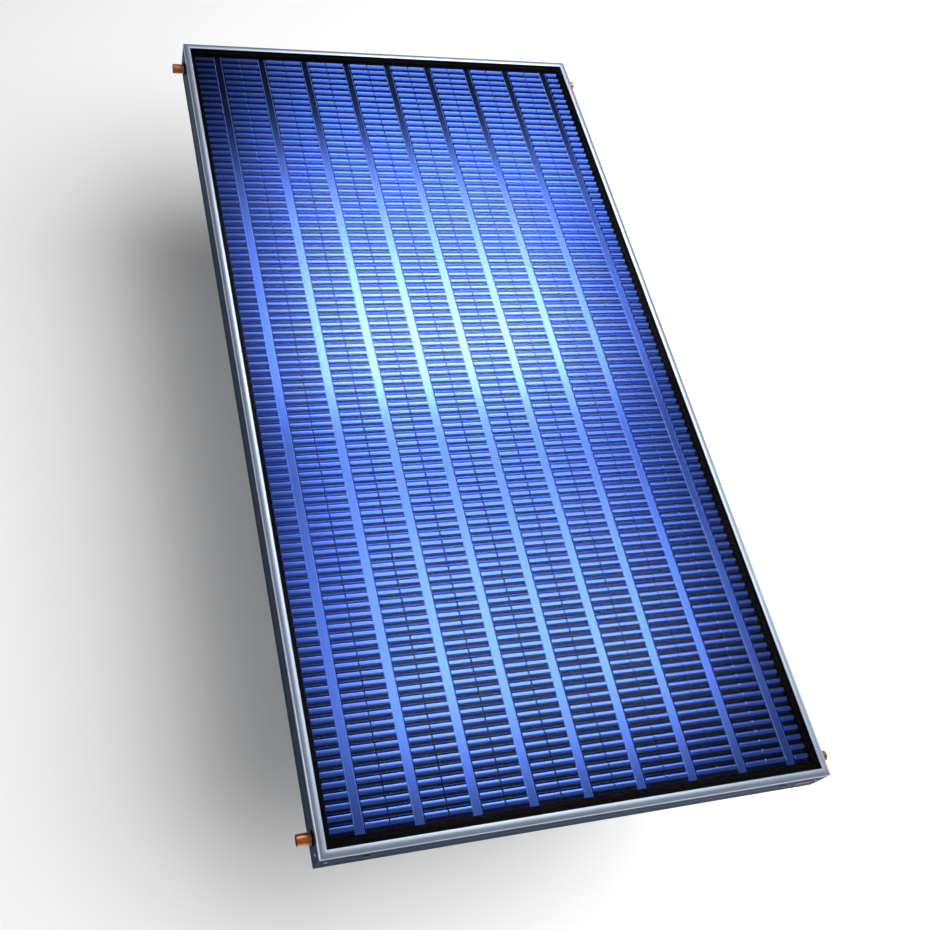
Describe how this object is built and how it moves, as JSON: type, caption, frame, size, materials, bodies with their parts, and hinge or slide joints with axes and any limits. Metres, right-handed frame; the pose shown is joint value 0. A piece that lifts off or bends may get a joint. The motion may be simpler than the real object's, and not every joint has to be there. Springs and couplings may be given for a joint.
{
  "type": "flat-plate solar collector",
  "caption": "Flat-plate solar water heating collector: blue ribbed absorber fins on copper tubes behind glass, in a shallow aluminium casing with copper header stubs.",
  "frame": {"origin": "middle of the casing's back, on the plane that the back flanges rest on", "axes": "+Z out through the glass, +Y along the length towards the head end, +X to the right seen through the glass with the head end up"},
  "size_m": [1.096, 2.0028, 0.075],
  "materials": {
    "frame_anodised": "satin anodised extrusion, faint lines along its length",
    "bead_anodised": "satin anodised extrusion, brighter than the rails",
    "black_rubber": "matt extruded EPDM rubber",
    "dark_wool": "black faced mineral wool",
    "mill_aluminium": "mill finish",
    "rivet_steel": "plain blind rivet",
    "stucco_sheet": "stucco embossed sheet, semi-bright",
    "mineral_wool": "resin bonded mineral wool",
    "black_fleece": "black glass fleece",
    "solar_glass": "clear low-iron tempered glass with a faint texture",
    "copper": "bright drawn copper, slightly tarnished",
    "selective_blue": "blue selective absorber coating, semi-gloss metallic",
    "sleeve_brass": "drawn brass",
    "black_plastic": "moulded UV-stable plastic",
    "plate_dark": "blank dark anodised plate"
  },
  "bodies": {
    "root": {"frame_rail_foot": "frame_anodised", "frame_rail_right": "frame_anodised", "frame_rail_head": "frame_anodised", "frame_rail_left": "frame_anodised", "glazing_bead_foot": "bead_anodised", "glazing_bead_right": "bead_anodised", "glazing_bead_head": "bead_anodised", "glazing_bead_left": "bead_anodised", "glass_seal_foot": "black_rubber", "glass_seal_right": "black_rubber", "glass_seal_head": "black_rubber", "glass_seal_left": "black_rubber", "edge_insulation_foot": "dark_wool", "edge_insulation_right": "dark_wool", "edge_insulation_head": "dark_wool", "edge_insulation_left": "dark_wool", "corner_keys": "mill_aluminium", "corner_rivets": "rivet_steel", "back_sheet": "stucco_sheet", "back_insulation": "mineral_wool", "insulation_fleece": "black_fleece", "glass_cover": "solar_glass", "header_tube_head": "copper", "header_tube_foot": "copper", "header_grommet_head_left": "black_rubber", "header_grommet_head_right": "black_rubber", "header_grommet_foot_left": "black_rubber", "header_grommet_foot_right": "black_rubber", "absorber_fin_1": "selective_blue", "absorber_fin_2": "selective_blue", "absorber_fin_3": "selective_blue", "absorber_fin_4": "selective_blue", "absorber_fin_5": "selective_blue", "absorber_fin_6": "selective_blue", "absorber_fin_7": "selective_blue", "absorber_fin_8": "selective_blue", "absorber_fin_9": "selective_blue", "riser_tube_1": "copper", "riser_tube_2": "copper", "riser_tube_3": "copper", "riser_tube_4": "copper", "riser_tube_5": "copper", "riser_tube_6": "copper", "riser_tube_7": "copper", "riser_tube_8": "copper", "riser_tube_9": "copper", "sensor_sleeve": "sleeve_brass", "sensor_grommet": "black_rubber", "vent_plugs": "black_plastic", "type_plate": "plate_dark"}
  },
  "joints": []
}
